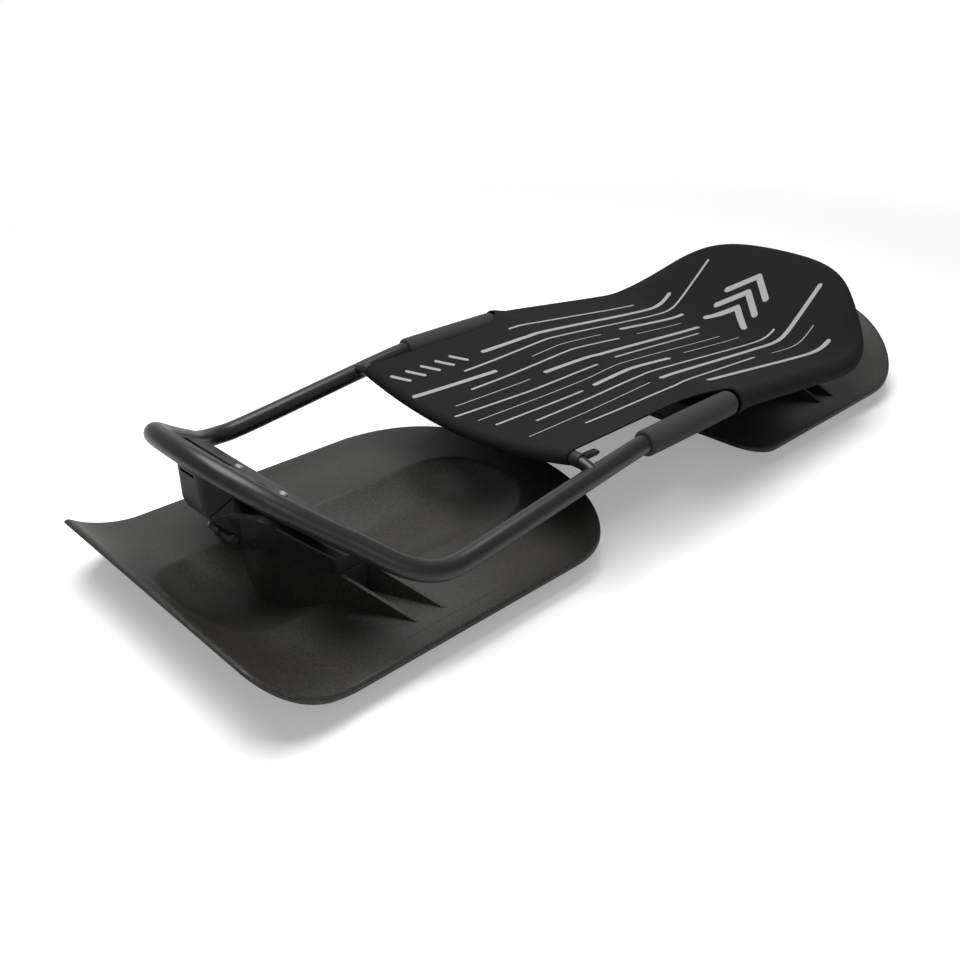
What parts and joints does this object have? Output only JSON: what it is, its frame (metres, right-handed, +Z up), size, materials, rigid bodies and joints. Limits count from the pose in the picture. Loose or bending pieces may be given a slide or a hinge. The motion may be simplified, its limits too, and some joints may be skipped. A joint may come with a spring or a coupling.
{
  "type": "steering sled",
  "caption": "Low sled for riding head first: bent tube frame, fabric deck and side grips on wide front and rear skis that swivel to steer.",
  "frame": {"origin": "middle of the sled's outline, on the plane that the two keels stand on", "axes": "+X to the sled's left, +Y to its rear, +Z up"},
  "size_m": [0.4408, 1.255, 0.2124],
  "materials": {
    "painted_tube": "satin black",
    "bright_zinc": "bright",
    "grip_foam": "matte",
    "deck_fabric": "woven, matte",
    "moulded_black": "fine grain",
    "ski_plastic": "grained",
    "urethane": "smooth",
    "nylon": "smooth",
    "seal_rubber": "smooth"
  },
  "bodies": {
    "frame": {"front_hoop": "painted_tube", "rear_hoop": "painted_tube", "left_frame_joiner": "bright_zinc", "right_frame_joiner": "bright_zinc", "left_grip": "grip_foam", "right_grip": "grip_foam", "deck_rod": "painted_tube", "deck_sling": "deck_fabric", "left_hem_collar": "moulded_black", "right_hem_collar": "moulded_black", "front_cross_plate": "painted_tube", "front_head": "moulded_black", "front_left_head_screw": "bright_zinc", "front_right_head_screw": "bright_zinc", "front_pivot_bush": "urethane", "front_thrust_washer": "nylon", "rear_cross_plate": "painted_tube", "rear_head": "moulded_black", "rear_left_head_screw": "bright_zinc", "rear_right_head_screw": "bright_zinc", "rear_pivot_bush": "urethane", "rear_thrust_washer": "nylon"},
    "front_steering": {"front_hanger": "moulded_black", "front_kingpin": "bright_zinc", "front_kingpin_washer": "bright_zinc", "front_kingpin_nut": "bright_zinc", "front_left_ski_dowel": "bright_zinc", "front_right_ski_dowel": "bright_zinc", "front_ski": "ski_plastic"},
    "front_latch": {"front_latch_pin": "bright_zinc", "front_latch_ring": "seal_rubber", "front_latch_knob": "moulded_black"},
    "rear_steering": {"rear_hanger": "moulded_black", "rear_kingpin": "bright_zinc", "rear_kingpin_washer": "bright_zinc", "rear_kingpin_nut": "bright_zinc", "rear_left_ski_dowel": "bright_zinc", "rear_right_ski_dowel": "bright_zinc", "rear_ski": "ski_plastic"},
    "rear_latch": {"rear_latch_pin": "bright_zinc", "rear_latch_ring": "seal_rubber", "rear_latch_knob": "moulded_black"}
  },
  "joints": [
    {"name": "front_steer", "type": "hinge", "parent": "frame", "child": "front_steering", "pos_m": [0, -0.532, 0.14393], "axis": [0, -0.3746, 0.9272], "range_deg": [-12, 12], "stiffness_Nm_per_rad": 60},
    {"name": "rear_steer", "type": "hinge", "parent": "frame", "child": "rear_steering", "pos_m": [0, 0.434, 0.13193], "axis": [0, 0.3746, 0.9272], "range_deg": [-12, 12], "stiffness_Nm_per_rad": 60},
    {"name": "front_latch_pull", "type": "slide", "parent": "front_steering", "child": "front_latch", "axis": [1, 0, 0], "range_m": [0, 0.008]},
    {"name": "rear_latch_pull", "type": "slide", "parent": "rear_steering", "child": "rear_latch", "axis": [-1, 0, 0], "range_m": [0, 0.008]}
  ]
}
